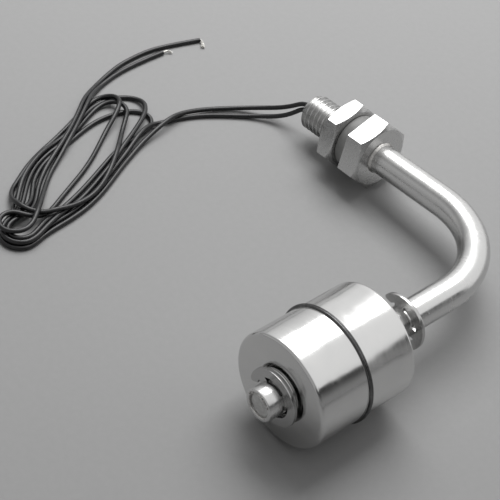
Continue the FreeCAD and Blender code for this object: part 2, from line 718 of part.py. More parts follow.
def make_tube(name, points, radius):
    """A round cord of one radius along a route."""
    path = rounded_path(points, name)
    first = path.Edges[0]
    ring = Part.Wire(Part.Circle(points[0], first.tangentAt(first.FirstParameter), radius).toShape())
    solid = path.makePipeShell([ring], True, False)
    expected = math.pi * radius ** 2 * path.Length
    print("%-14s length %.1f, volume %.2f against %.2f" % (name, path.Length, solid.Volume, expected))
    assert abs(solid.Volume / expected - 1) < 0.01, name
    feature = doc.addObject("Part::Feature", name)
    feature.Label = name
    feature.Shape = solid
    return feature


def exit_point(side):
    """Where a lead leaves the threaded end."""
    return THREAD_ARM.multVec(Vector(side * size("lead_spacing"), 0, THREAD_END))


def make_lead_start(name, side, straight, ground, heights):
    """A lead that leaves the threaded end straight, falls to the ground and runs on to the hank."""
    first = exit_point(side)
    outward = THREAD_ARM.Rotation.multVec(Vector(0, 0, 1))
    points = [first, first + outward * straight] + route(ground, heights)
    return make_tube(name, points, size("lead_radius"))


def make_hank():
    """The outer shape of the loose hank that both leads are looped into."""
    turn = Rotation(Vector(0, 0, 1), HANK_ANGLE)
    body = new_body("lead_hank", Placement(HANK_CENTRE, turn))
    outline = new_sketch(body, "HankOutline", "XY_Plane")
    add_slot(outline, "Dims.hank_half_length", "Dims.hank_half_width")
    add_slot(outline, "Dims.hank_hole_length", "Dims.hank_hole_width")
    pad(body, outline, "Dims.hank_height", "Hank")
    return body


def make_bare_tip(name, points):
    """The tinned strands at a lead's free end."""
    return make_tube(name, points, size("strand_radius"))


# ---------------------------------------------------------------- the whole switch
PARTS = [
    make_stem_tube(),
    make_tip_plug(),
    make_clip("rear_clip", "Dims.rear_clip_back", 176),
    make_clip("front_clip", "Dims.front_clip_back", 211),
    make_fitting(),
    make_gasket(),
    make_lock_nut(),
    make_shell("float_front_shell", FLOAT_AXIS, SEAM),
    make_shell("float_rear_shell", FLOAT_AXIS.multiply(Placement(Vector(), Rotation(X_AXIS, 180))),
               "-(" + SEAM + ")"),
    make_float_sleeve(),
    make_magnet(),
    make_reed_glass(),
    make_near_blade(),
    make_far_blade(),
    make_return_wire(),
    make_liner(),
    make_stem_lead("stem_lead_a", ""),
    make_stem_lead("stem_lead_b", "-"),
    make_resin(),
    make_lead_start("lead_a_start", 1, 5.2, LEAD_A_START, LEAD_A_START_HEIGHT),
    make_lead_start("lead_b_start", -1, 4.4, LEAD_B_START, LEAD_B_START_HEIGHT),
    make_hank(),
    make_tube("lead_a_end", route(LEAD_A_END, LEAD_A_END_HEIGHT), size("lead_radius")),
    make_tube("lead_b_end", route(LEAD_B_END, LEAD_B_END_HEIGHT), size("lead_radius")),
    make_bare_tip("lead_a_tip", route([(-93.1, 35.75), (-92.5, 37.45), (-91.0, 37.65), (-89.9, 36.45)],
                                      [0.65, 0.65, 0.5, 0.35])),
    make_bare_tip("lead_b_tip", route([(-93.8, 19.25), (-93.8, 21.05), (-93.1, 22.35), (-91.8, 22.65)],
                                      [0.65, 0.65, 0.5, 0.35])),
]

doc.recompute()
for item in doc.Objects:
    assert "Invalid" not in item.State and "Error" not in item.State, item.Name
for part in PARTS:
    assert not part.Shape.isNull() and part.Shape.isValid(), part.Label
    assert len(part.Shape.Solids) >= 1, part.Label

os.makedirs("parts", exist_ok=True)
for part in PARTS:
    part.Shape.exportStep("parts/" + part.Label + ".step")
    print("%-18s volume %10.2f" % (part.Label, part.Shape.Volume))
print("knee %.3f %.3f %.3f, dip %.3f degrees" % (KNEE.x, KNEE.y, KNEE.z, DIP_DEG))
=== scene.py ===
import math

import bmesh
import bpy
from mathutils import Matrix, Vector


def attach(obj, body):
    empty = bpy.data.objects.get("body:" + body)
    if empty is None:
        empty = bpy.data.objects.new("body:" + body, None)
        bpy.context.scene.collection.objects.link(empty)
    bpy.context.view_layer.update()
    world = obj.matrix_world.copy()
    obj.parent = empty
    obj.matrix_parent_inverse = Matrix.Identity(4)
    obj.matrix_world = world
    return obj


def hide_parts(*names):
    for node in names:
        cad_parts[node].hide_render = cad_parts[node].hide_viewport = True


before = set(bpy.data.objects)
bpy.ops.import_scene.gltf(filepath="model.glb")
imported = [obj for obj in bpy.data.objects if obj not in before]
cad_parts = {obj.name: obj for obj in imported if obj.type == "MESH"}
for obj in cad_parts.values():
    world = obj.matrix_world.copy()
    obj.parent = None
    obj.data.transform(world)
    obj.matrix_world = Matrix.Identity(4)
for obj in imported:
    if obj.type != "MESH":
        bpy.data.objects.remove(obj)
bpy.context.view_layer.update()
mm = 0.001
print("stage: frame loaded")

mergeGap = 0.002 * mm  # vertices nearer to each other than this become one
nearby = 0.01 * mm  # how far a vertex may lie from where it is looked for

# both arms of the stem are measured from the knee, where their centre lines would cross
knee = Vector((29.33, 36.83, 13.95)) * mm
dip = math.radians(4.256)  # of the thread arm, towards its end
threadAlong = Vector((-math.cos(dip), 0, -math.sin(dip)))
threadUp = Vector((-math.sin(dip), 0, math.cos(dip)))
floatAlong = Vector((0, -1, 0))
floatLift = Vector((0, 0, 0.7)) * mm  # the stem lies low in the float's bore


def armMatrix(origin, along, across):
    # local Z runs out along the arm and local X points across it
    turn = Matrix((across, along.cross(across), along)).transposed().to_4x4()
    return Matrix.Translation(origin) @ turn


threadArm = armMatrix(knee, threadAlong, threadUp)
stemArm = armMatrix(knee, floatAlong, Vector((1, 0, 0)))
floatArm = armMatrix(knee + floatLift, floatAlong, Vector((1, 0, 0)))

view = {
    "place": (0.166352, -0.200381, 0.257187),
    "turn": (45.840, -6.2668, 49.5816),  # degrees
    "lens": 106.756,
    "sensor": 36.0,
    "nearest": 0.005,
    "farthest": 20,
}


def makeCamera():
    bpy.ops.object.camera_add(location=view["place"], rotation=[math.radians(a) for a in view["turn"]])
    camera = bpy.context.object
    camera.name = "camera"
    camera.data.lens = view["lens"]
    camera.data.sensor_width = view["sensor"]
    camera.data.clip_start = view["nearest"]
    camera.data.clip_end = view["farthest"]
    bpy.context.scene.camera = camera


makeCamera()


class Wire:
    # one socket in a material, for writing its maths out
    def __init__(self, tree, made=None, output=0):
        self.tree = tree
        self.made = made
        self.socket = made.outputs[output] if made else None

    def node(self, kind, settings=None, inputs=None, output=0):
        made = self.tree.nodes.new(kind)
        for name, value in (settings or {}).items():
            if name == "stops":
                ramp = made.color_ramp
                while len(ramp.elements) < len(value):
                    ramp.elements.new(0.5)
                for element, (stop, shade) in zip(ramp.elements, value):
                    element.position = stop
                    element.color = (*shade, 1)
            else:
                setattr(made, name, value)
        for name, value in (inputs or {}).items():
            if isinstance(value, Wire):
                self.tree.links.new(value.socket, made.inputs[name])
            else:
                made.inputs[name].default_value = value
        return Wire(self.tree, made, output)

    def part(self, output):
        return Wire(self.tree, self.made, output)

    def maths(self, operation, *values):
        return self.node("ShaderNodeMath", {"operation": operation}, dict(enumerate(values)))

    def __add__(self, other):
        return self.maths("ADD", self, other)

    def __mul__(self, other):
        return self.maths("MULTIPLY", self, other)

    __radd__ = __add__
    __rmul__ = __mul__

    def into(self, shader, socket):
        self.tree.links.new(self.socket, shader.inputs[socket])


def newMaterial(name, **constants):
    material = bpy.data.materials.new(name)
    material.use_nodes = True
    shader = material.node_tree.nodes["Principled BSDF"]
    for socket, value in constants.items():
        shader.inputs[socket].default_value = value
    return material, shader, Wire(material.node_tree)


def armPlaces(pen, arm=Matrix()):
    # millimetres from the knee along an arm's own axes, or in the row frame
    back = arm.inverted()
    perMetre = 1 / mm
    return pen.node("ShaderNodeMapping", {}, {
        "Vector": pen.node("ShaderNodeTexCoord", output="Object"), "Location": back.translation * perMetre,
        "Rotation": back.to_euler(), "Scale": (perMetre, perMetre, perMetre)})


def noise(pen, where, scale, detail=2.0, roughness=0.5):
    return pen.node("ShaderNodeTexNoise", {}, {
        "Vector": where, "Scale": scale, "Detail": detail, "Roughness": roughness})


def spread(wire, low, high, fromLow=0.3, fromHigh=0.7):
    return wire.node("ShaderNodeMapRange", {}, {
        "Value": wire, "From Min": fromLow, "From Max": fromHigh, "To Min": low, "To Max": high})


def shades(wire, *stops):
    return wire.node("ShaderNodeValToRGB", {"stops": stops}, {"Fac": wire})


def bump(height, strength, distance, under=None):
    # the distance is in millimetres
    inputs = {"Height": height, "Strength": strength, "Distance": distance * mm}
    if under:
        inputs["Normal"] = under
    return height.node("ShaderNodeBump", {}, inputs)


# what every steel shares; a grain is a noise's detail and roughness
steel = {
    "around": 0.02,  # how fast the lines change round an arm
    "lineGrain": (3.0, 0.6), "cloudGrain": (3.0, 0.55), "waveDetail": 1.0,
    "marks": (2.6, 6.0, 0.75), "marksRange": (0.62, 0.80), "marksDull": 0.05,
    "dark": (0.93, 0.93, 0.925), "light": (1.0, 0.995, 0.985), "darkAt": 0.3, "lightAt": 0.7,
    "cloudShare": 0.7, "linesShare": 0.3, "waveDeep": 0.3, "lineDeep": 0.02,
}


def turnedPlaces(pen, arm):
    # a pattern that hardly changes round the arm: across is the distance from its axis
    split = pen.node("ShaderNodeSeparateXYZ", {}, {"Vector": armPlaces(pen, arm)})
    x, y, z = split.part("X"), split.part("Y"), split.part("Z")
    square = x * x + y * y
    across = square.maths("SQRT", square)
    return pen.node("ShaderNodeCombineXYZ", {}, {"X": across, "Y": x * steel["around"], "Z": z})


def makeSteel(name, arm, look):
    # polished or turned stainless steel: fine lines round the arm, a slow waviness and stray marks
    material, shader, pen = newMaterial(name, Metallic=1.0)
    free = armPlaces(pen)
    lines = noise(pen, turnedPlaces(pen, arm), look["lines"], *steel["lineGrain"])
    cloud = noise(pen, free, look["cloud"], *steel["cloudGrain"])
    marks = spread(noise(pen, free, *steel["marks"]), 0.0, 1.0, *steel["marksRange"])
    low, high = look["roughness"]
    rough = spread(lines, low, high) + spread(cloud, 0.0, high - low) + marks * steel["marksDull"]
    rough.into(shader, "Roughness")
    dark, light = [[look["grey"] * part for part in steel[tone]] for tone in ("dark", "light")]
    tint = shades(cloud * steel["cloudShare"] + lines * steel["linesShare"],
                  (steel["darkAt"], dark), (steel["lightAt"], light))
    tint.into(shader, "Base Color")
    slow = bump(noise(pen, free, look["waves"], steel["waveDetail"]), look["wavy"], steel["waveDeep"])
    bump(lines, look["cut"], steel["lineDeep"], slow).into(shader, "Normal")
    return material


finishes = {
    "tubeSteel": makeSteel("tubeSteel", stemArm, {
        "lines": 1.2, "cloud": 0.25, "waves": 0.11, "roughness": (0.17, 0.24),
        "grey": 0.66, "wavy": 0.10, "cut": 0.01}),
    "floatSteel": makeSteel("floatSteel", floatArm, {
        "lines": 3.0, "cloud": 0.16, "waves": 0.16, "roughness": (0.09, 0.15),
        "grey": 0.68, "wavy": 0.30, "cut": 0.04}),
    "fittingSteel": makeSteel("fittingSteel", threadArm, {
        "lines": 5.0, "cloud": 0.3, "waves": 0.2, "roughness": (0.20, 0.28),
        "grey": 0.60, "wavy": 0.06, "cut": 0.04}),
    "clipSteel": makeSteel("clipSteel", stemArm, {
        "lines": 4.0, "cloud": 0.3, "waves": 0.2, "roughness": (0.13, 0.20),
        "grey": 0.50, "wavy": 0.08, "cut": 0.02}),
}

# what every other finish shares
plain = {
    "fineGrain": (4.0, 0.6), "broad": 0.12, "broadDetail": 2.0, "fineTint": 0.5, "broadTint": 0.5,
    "darkAt": 0.40, "lightAt": 0.60, "fineSheen": 0.4, "broadSheen": 0.6, "deep": 0.05,
}


def makePlain(name, look):
    # moulded, sintered or cast stuff: a fine grain in its colour, sheen and surface
    material, shader, pen = newMaterial(name, **look.get("constants", {}))
    where = armPlaces(pen)
    fine = noise(pen, where, look["grain"], *plain["fineGrain"])
    broad = noise(pen, where, look["grain"] * plain["broad"], plain["broadDetail"])
    tint = shades(fine * plain["fineTint"] + broad * plain["broadTint"],
                  (plain["darkAt"], look["dark"]), (plain["lightAt"], look["light"]))
    tint.into(shader, "Base Color")
    sheen = spread(broad * plain["broadSheen"] + fine * plain["fineSheen"], *look["roughness"])
    sheen.into(shader, "Roughness")
    bump(fine, look["depth"], plain["deep"]).into(shader, "Normal")
    return material


metal = {"Metallic": 1.0}
clear = {"Transmission Weight": 0.85, "IOR": 1.5}
plainLooks = {
    "blackPvc": {
        "dark": (0.005, 0.005, 0.006), "light": (0.011, 0.011, 0.012), "roughness": (0.24, 0.34),
        "grain": 3.0, "depth": 0.08},
    "greyRubber": {
        "dark": (0.23, 0.23, 0.225), "light": (0.29, 0.29, 0.285), "roughness": (0.42, 0.56),
        "grain": 4.0, "depth": 0.15},
    "tinnedCopper": {
        "dark": (0.50, 0.49, 0.46), "light": (0.68, 0.67, 0.64), "roughness": (0.28, 0.42),
        "grain": 6.0, "depth": 0.20, "constants": metal},
    "weldSteel": {
        "dark": (0.42, 0.41, 0.40), "light": (0.66, 0.65, 0.63), "roughness": (0.24, 0.42),
        "grain": 1.6, "depth": 0.55, "constants": metal},
    "plugSteel": {
        "dark": (0.50, 0.50, 0.49), "light": (0.72, 0.72, 0.71), "roughness": (0.34, 0.52),
        "grain": 1.8, "depth": 0.35, "constants": metal},
    # painted shade: a near-black steel for the seam's lips, standing in for their shadow and dark reflections
    "seamPaintedShade": {
        "dark": (0.10, 0.10, 0.10), "light": (0.17, 0.17, 0.17), "roughness": (0.18, 0.30),
        "grain": 2.5, "depth": 0.10, "constants": metal},
    "ferrite": {
        "dark": (0.030, 0.030, 0.033), "light": (0.060, 0.060, 0.064), "roughness": (0.45, 0.62),
        "grain": 5.0, "depth": 0.20},
    "sealedGlass": {
        "dark": (0.62, 0.74, 0.68), "light": (0.72, 0.82, 0.76), "roughness": (0.05, 0.12),
        "grain": 1.0, "depth": 0.03, "constants": clear},
    "reedMetal": {
        "dark": (0.50, 0.48, 0.44), "light": (0.64, 0.62, 0.58), "roughness": (0.26, 0.38),
        "grain": 5.0, "depth": 0.15, "constants": metal},
    "linerPlastic": {
        "dark": (0.70, 0.69, 0.66), "light": (0.80, 0.79, 0.76), "roughness": (0.35, 0.48),
        "grain": 2.0, "depth": 0.08},
    "epoxy": {
        "dark": (0.014, 0.014, 0.016), "light": (0.030, 0.030, 0.032), "roughness": (0.22, 0.40),
        "grain": 1.2, "depth": 0.30},
}
for name, look in plainLooks.items():
    finishes[name] = makePlain(name, look)
print("stage: finishes")

arcs = {"fewest": 3, "perMm": 8}  # segments of a rounded corner, which grow with its rounding


def clearSelection():
    if bpy.context.object and bpy.context.object.mode != "OBJECT":
        bpy.ops.object.mode_set(mode="OBJECT")
    bpy.ops.object.select_all(action="DESELECT")


def only(piece):
    # leaves one object selected and active
    clearSelection()
    piece.select_set(True)
    bpy.context.view_layer.objects.active = piece


def nameIt(name):
    piece = bpy.context.object
    piece.name = name
    piece.data.name = name
    return piece


def pick(piece, wanted, kind="verts"):
    # selects the vertices or edges that a test by place says yes to
    bpy.ops.mesh.select_mode(type={"verts": "VERT", "edges": "EDGE"}[kind])
    bpy.ops.mesh.select_all(action="DESELECT")
    shape = bmesh.from_edit_mesh(piece.data)
    for element in getattr(shape, kind):
        if wanted(element):
            element.select_set(True)
    shape.select_flush_mode()
    bmesh.update_edit_mesh(piece.data)


def place(piece, arm):
    # from the axes that it was drawn on to the row frame, with its place in its mesh
    clearSelection()
    piece.matrix_world = arm @ piece.matrix_world
    only(piece)
    bpy.ops.object.transform_apply(location=True, rotation=True, scale=True)


def smooth(piece, angle=32):
    only(piece)
    bpy.ops.object.shade_smooth_by_angle(angle=math.radians(angle))


def applied(piece, name, kind, **settings):
    only(piece)
    modifier = piece.modifiers.new(name, kind)
    for setting, value in settings.items():
        setattr(modifier, setting, value)
    bpy.ops.object.modifier_apply(modifier=modifier.name)


def flatFaces(piece):
    # large faces keep their own shading, and only the narrow ones between them turn the light
    applied(piece, "flatFaces", "WEIGHTED_NORMAL", keep_sharp=True, weight=100)


def closeUp():
    # joins vertices that coincide and turns all faces outwards, in edit mode
    bpy.ops.mesh.select_all(action="SELECT")
    bpy.ops.mesh.remove_doubles(threshold=mergeGap)
    bpy.ops.mesh.normals_make_consistent(inside=False)
    clearSelection()


def ripple(piece, name, width, strength):
    # uneven metal, with ripples of a width and strength in millimetres
    ripples = bpy.data.textures.new(name, "CLOUDS")
    ripples.noise_scale = width * mm
    applied(piece, "ripples", "DISPLACE", texture=ripples, strength=strength * mm, mid_level=0.5)


def dress(piece, body, finish, slot, *nodes):
    piece.data.materials.clear()
    piece.data.materials.append(finishes[finish])
    if nodes:
        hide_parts(*nodes)
    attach(piece, body)


def drawOutline(name, outline):
    # a chain of edges from (height, radius) or (height, radius, rounding) points, in millimetres
    clearSelection()
    bpy.ops.mesh.primitive_plane_add(size=mm)
    piece = nameIt(name)
    bpy.ops.object.mode_set(mode="EDIT")
    bpy.ops.mesh.select_mode(type="VERT")
    bpy.ops.mesh.select_all(action="SELECT")
    bpy.ops.mesh.merge(type="CENTER")
    at = Vector((0, 0, 0))
    for number, (height, radius, *_) in enumerate(outline):
        step = Vector((radius, 0, height)) * mm - at
        if number:
            bpy.ops.mesh.extrude_vertices_move(TRANSFORM_OT_translate={"value": step})
        else:
            bpy.ops.transform.translate(value=step)
        at = at + step
    for height, radius, rounding in [p for p in outline if len(p) == 3]:
        corner = Vector((radius, 0, height)) * mm
        pick(piece, lambda v: (v.co - corner).length < nearby)
        segments = max(arcs["fewest"], int(rounding * arcs["perMm"]))
        bpy.ops.mesh.bevel(offset=rounding * mm, segments=segments, affect="VERTICES")
    return piece


def lathe(name, outline, segments=96, closed=True):
    if closed:
        outline = [*outline, outline[0][:2]]
    piece = drawOutline(name, outline)
    bpy.ops.mesh.select_all(action="SELECT")
    bpy.ops.mesh.spin(steps=segments, angle=math.tau, center=(0, 0, 0), axis=(0, 0, 1))
    closeUp()
    return piece


print("stage: tools")

# each lead's line in millimetres: its start and end in the row frame, and between them its turns
# as places along the hank, across it and above the table
leads = {
    "radius": 0.65,
    "aStart": [(-43.61, 36.83, 9.32), (-46.8, 36.83, 9.08), (-50.4, 35.3, 6), (-53.8, 34.1, 3.7),
        (-57.1, 32.1, 2.3), (-60.1, 29.4, 1.4), (-62.8, 26.1, 0.9), (-65.2, 22.2, 0.8),
        (-67.3, 17.2, 1.1), (-68.2, 11.4, 1.9), (-67.7, 7.1, 2.4), (-66.6, 2.7, 2.2)],
    "aTurns": [(19.8, 11.7, 1.5), (15.6, 10.9, 1), (11, 10.6, 0.7), (5, 10.4, 0.65), (-1, 10.5, 0.65),
        (-7, 10.4, 0.65), (-13, 9.6, 0.65), (-18.5, 8.1, 0.65), (-23.5, 6.2, 0.65), (-27, 5.1, 0.65),
        (-29.8, 4.6, 0.65), (-32.7, 3.7, 0.65), (-34.4, 1.2, 0.65), (-34.4, -1.8, 0.65),
        (-32.7, -4.3, 0.65), (-29.8, -5.3, 0.65), (-25.5, -5.6, 0.65), (-21, -6.2, 0.75),
        (-16.5, -7.8, 1.5), (-12, -9.2, 1.9), (-6, -9.9, 1.85), (0, -9.8, 1.7), (6, -8.7, 0.7),
        (12, -8, 0.65), (17.5, -7.8, 0.65), (23, -7.5, 0.65), (27.6, -5.9, 0.65), (31, -3.2, 0.65),
        (32.8, 0.3, 0.65), (32.2, 4, 1.2), (28.8, 6.2, 1.9), (24.5, 7.1, 1.95), (20, 7.4, 1.95),
        (15.5, 7.6, 1.95), (11.5, 7.6, 1.9), (7.5, 7.6, 1), (3, 7.5, 0.65), (-2, 7.4, 0.65),
        (-7, 7.2, 0.65), (-12, 6.7, 0.65), (-17, 5.7, 1.3), (-21.5, 5.1, 1.95), (-26, 4.6, 1.95),
        (-29.2, 4.4, 1.95), (-32, 3.5, 1.95), (-33.7, 1.2, 1.95), (-33.7, -1.8, 1.95), (-32, -4.1, 1.95),
        (-29.2, -5, 1.95), (-26, -4.7, 1.95), (-23.3, -3.7, 1.95), (-20.5, -3.2, 1.5),
        (-17.5, -3.8, 0.75), (-14, -5.3, 0.65), (-10.5, -6.9, 0.65), (-5, -7.8, 0.65), (0, -7.5, 0.65),
        (6, -6.2, 0.65), (12, -5.3, 0.65), (17, -4.3, 0.65), (21, -2.7, 0.65), (24.6, -0.4, 0.65),
        (27.3, 2.2, 0.65), (28.5, 5.3, 0.65), (27.7, 8.2, 0.65), (25, 9.8, 0.65), (21.5, 9.6, 0.65),
        (17.5, 8.3, 0.65), (13.5, 7, 0.65), (8.5, 6.2, 0.65), (3, 6, 0.65), (-3, 5.8, 0.65),
        (-9, 5.4, 0.65), (-14.5, 4.7, 0.65), (-19.5, 3.9, 1), (-24, 3.4, 1.95), (-28.7, 3.3, 1.95),
        (-30.8, 2.6, 1.95), (-32.2, 0.8, 1.95), (-32.2, -1.4, 1.95), (-30.8, -3.2, 1.95),
        (-28.7, -3.8, 1.95), (-25.5, -3, 1.95), (-22.3, -1.9, 1.4), (-18.5, -2.1, 0.65),
        (-12, -4.8, 0.65), (-6, -6.3, 0.8), (0, -6.6, 1.7), (6, -7, 2), (12, -7.8, 2), (18, -8.9, 2),
        (24, -10.3, 1.9)],
    "aEnd": [(-89.6, -3.9, 1.2), (-92.4, 1.9, 0.65), (-94.2, 6.7, 0.65), (-95.6, 11.4, 0.65),
        (-96.3, 17.2, 0.65), (-96.4, 22.7, 0.65), (-95.5, 27.6, 0.65), (-94.4, 32, 0.65),
        (-92.7, 37.9, 0.65)],
    "bStart": [(-43.66, 36.83, 7.73), (-46.6, 36.83, 7.5), (-49.3, 34.6, 4.4), (-52, 32.7, 2.5),
        (-55.1, 30.4, 1.4), (-57.9, 27.5, 0.8), (-60.4, 24.2, 0.65), (-62.9, 20.7, 0.65),
        (-65.6, 16.3, 0.65), (-67.4, 12, 0.65), (-68.5, 7.6, 0.65), (-69.2, 4.3, 0.75)],
    "bTurns": [(23.6, 9.9, 1.6), (20, 9.3, 1.95), (16, 9.2, 1.8), (11.5, 9.1, 1), (6, 8.9, 0.65),
        (0, 8.9, 0.65), (-6, 8.8, 0.65), (-12, 8.1, 0.65), (-17.5, 6.8, 0.65), (-22.5, 4.9, 0.65),
        (-26.5, 3.7, 0.65), (-29.4, 3.4, 0.65), (-31.6, 2.6, 0.65), (-33, 0.8, 0.65), (-33, -1.5, 0.65),
        (-31.6, -3.2, 0.65), (-29.4, -4, 0.65), (-25.5, -4.1, 0.65), (-21, -4.7, 0.65),
        (-16.5, -6.2, 0.65), (-12, -7.9, 0.65), (-6, -9.2, 0.65), (0, -8.8, 0.65), (6, -7.4, 0.65),
        (12, -6.7, 0.65), (16.5, -6.6, 0.65), (20.5, -6.5, 0.65), (24, -6.1, 0.8), (26.7, -4.7, 1.3),
        (27.9, -2.3, 1.7), (27.3, 0.4, 1.95), (25.2, 2.3, 1.95), (22, 3.3, 1.95), (18.5, 4.2, 1.5),
        (15, 5.3, 1.6), (11, 6.7, 2.7), (6, 8.1, 2.7), (0, 9.2, 2), (-6, 9.6, 1.85), (-11, 8.9, 1.85),
        (-15.5, 7.1, 2.3), (-19, 4.8, 3), (-21.8, 1.9, 2.6), (-22.8, -1.6, 2.9), (-22.4, -4.8, 3.2),
        (-20.2, -8, 1.8), (-16.5, -9.9, 0.75), (-12, -10.4, 0.65), (-6, -11, 0.65), (0, -10.7, 0.65),
        (6, -9.9, 0.65), (12, -9.4, 0.65), (17.5, -9.2, 0.65), (22, -9, 0.65), (25.4, -8.5, 0.9),
        (28, -6.7, 1.5), (28.9, -3.9, 2.4), (27.8, -1.4, 3.1), (24.8, 0, 3.3), (20.5, 0.5, 2.5),
        (16, 0.6, 1.3), (11, 1.2, 0.65), (5, 2.1, 0.65), (-1, 2.5, 0.65), (-7, 2.4, 0.65),
        (-13, 2.3, 0.65), (-17, 2.3, 0.65), (-20.2, 2.1, 0.9), (-23.1, 0.9, 1.9), (-24.9, -1.2, 3),
        (-25.5, -3.9, 3.3), (-27, -5.8, 3.3), (-29.4, -6.2, 3.3), (-31.6, -5, 3.3), (-32.5, -2.6, 3.3),
        (-31.5, -0.1, 3.3), (-29.7, 1.4, 3.3), (-27, 1.8, 3.3), (-23.5, 1.2, 3.9), (-18.5, -0.4, 3.2),
        (-13, -2.6, 1), (-6, -4.6, 0.65), (0, -5.2, 1), (6, -5.8, 1.9), (12, -6.6, 2), (18, -7.7, 2),
        (24, -8.8, 2.1)],
    "bEnd": [(-88.4, -4, 1.3), (-90.6, 0.4, 0.65), (-92, 4.9, 0.65), (-93, 9.4, 0.65),
        (-93.5, 14.9, 0.65), (-93.7, 20.2, 0.65), (-93.7, 25.1, 0.65)],
    "aTip": [(-92.7, 37.9, 0.65), (-92.2, 38.1, 0.7), (-91.1, 37.7, 0.65), (-89.6, 36.7, 0.5)],
    "bTip": [(-93.7, 25.1, 0.65), (-93.6, 26.2, 0.7), (-93.3, 26.9, 0.65), (-92.6, 27.2, 0.5)],
    "strands": 7, "strandRadius": 0.11, "bundle": 0.2, "clearance": 0.02,
    "fray": 0.45,  # how far a strand strays at its end, by a share that differs from strand to strand
    "frayLeast": 0.6, "frayVaries": 0.4, "frayStep": 2.4, "frayAcross": (0.6, 0.8),
}
hank = {"centre": (-67.2, -24.1), "angle": 117.0}  # of its length, in degrees from the row frame's X


def hankPoint(alongHank, acrossHank, height):
    turn = math.radians(hank["angle"])
    along = Vector((math.cos(turn), math.sin(turn)))
    across = Vector((along.y, -along.x))
    spot = Vector(hank["centre"]) + along * alongHank + across * acrossHank
    return (spot.x, spot.y, height)


def makeCord(name, points, radius, roundness=4):
    curve = bpy.data.curves.new(name, "CURVE")
    curve.dimensions = "3D"
    curve.bevel_depth = radius * mm
    curve.bevel_resolution = roundness
    curve.resolution_u = 6
    curve.use_fill_caps = True
    spline = curve.splines.new("NURBS")
    spline.points.add(len(points) - 1)
    for point, (x, y, z) in zip(spline.points, points):
        point.co = (x * mm, y * mm, z * mm, 1)
    spline.order_u = 3
    spline.use_endpoint_u = True
    cord = bpy.data.objects.new(name, curve)
    bpy.context.scene.collection.objects.link(cord)
    return cord


def lineLength(cord):
    curve = cord.data.copy()
    curve.bevel_depth = 0
    line = bpy.data.objects.new("line", curve)
    bpy.context.scene.collection.objects.link(line)
    bpy.context.view_layer.update()
    mesh = bpy.data.meshes.new_from_object(line.evaluated_get(bpy.context.evaluated_depsgraph_get()))
    spots = [vertex.co for vertex in mesh.vertices]
    total = sum((spots[e.vertices[0]] - spots[e.vertices[1]]).length for e in mesh.edges)
    bpy.data.objects.remove(line)
    bpy.data.meshes.remove(mesh)
    return total


def makeTip(name, points):
    # bare strands that leave the insulation together and open out round the middle one
    count, radius = leads["strands"], leads["strandRadius"]
    acrossX, acrossY = leads["frayAcross"]
    strands = []
    for number in range(count):
        around = math.tau * number / (count - 1)
        share = leads["frayLeast"] + leads["frayVaries"] * math.cos(leads["frayStep"] * number)
        line = []
        for step, (x, y, z) in enumerate(points):
            gone = step / (len(points) - 1)
            out = leads["bundle"] + leads["fray"] * gone ** 2 * share if number else 0
            sideways = out * math.cos(around)
            line.append((x + sideways * acrossX, y + sideways * acrossY,
                         max(z + out * math.sin(around), radius + leads["clearance"])))
        strands.append(makeCord("%sStrand%d" % (name, number), line, radius, 2))
    clearSelection()
    for strand in strands:
        strand.select_set(True)
    bpy.context.view_layer.objects.active = strands[0]
    bpy.ops.object.join()
    return nameIt(name)


def makeLead(letter):
    turns = [hankPoint(*point) for point in leads[letter + "Turns"]]
    points = leads[letter + "Start"] + turns + leads[letter + "End"]
    name = "lead" + letter.upper()
    lead = makeCord(name, points, leads["radius"])
    tip = makeTip(name + "Tip", leads[letter + "Tip"])
    dress(lead, "stem", "blackPvc", "lead_insulation",
          "lead_%s_start" % letter, "lead_hank", "lead_%s_end" % letter)
    dress(tip, "stem", "tinnedCopper", "tinned_copper", "lead_%s_tip" % letter)
    length = lineLength(lead)
    print("%s is %.1f mm long" % (name, length / mm))


makeLead("a")
makeLead("b")
print("stage: leads")

stem = {
    "radius": 4.0, "bore": 3.0, "bend": 24.8, "start": 52.0, "tip": 83.2, "bevel": 0.3,
    "bevelBack": 0.1, "bevelIn": 0.12,  # a point of the rim's rounding between the ends of the bevel
    "mouthWide": 0.1, "mouthDeep": 0.15, "grooves": [(39.17, 40.13), (78.27, 79.23)], "groove": 3.5,
    "sides": 72, "bendSteps": 36,
}


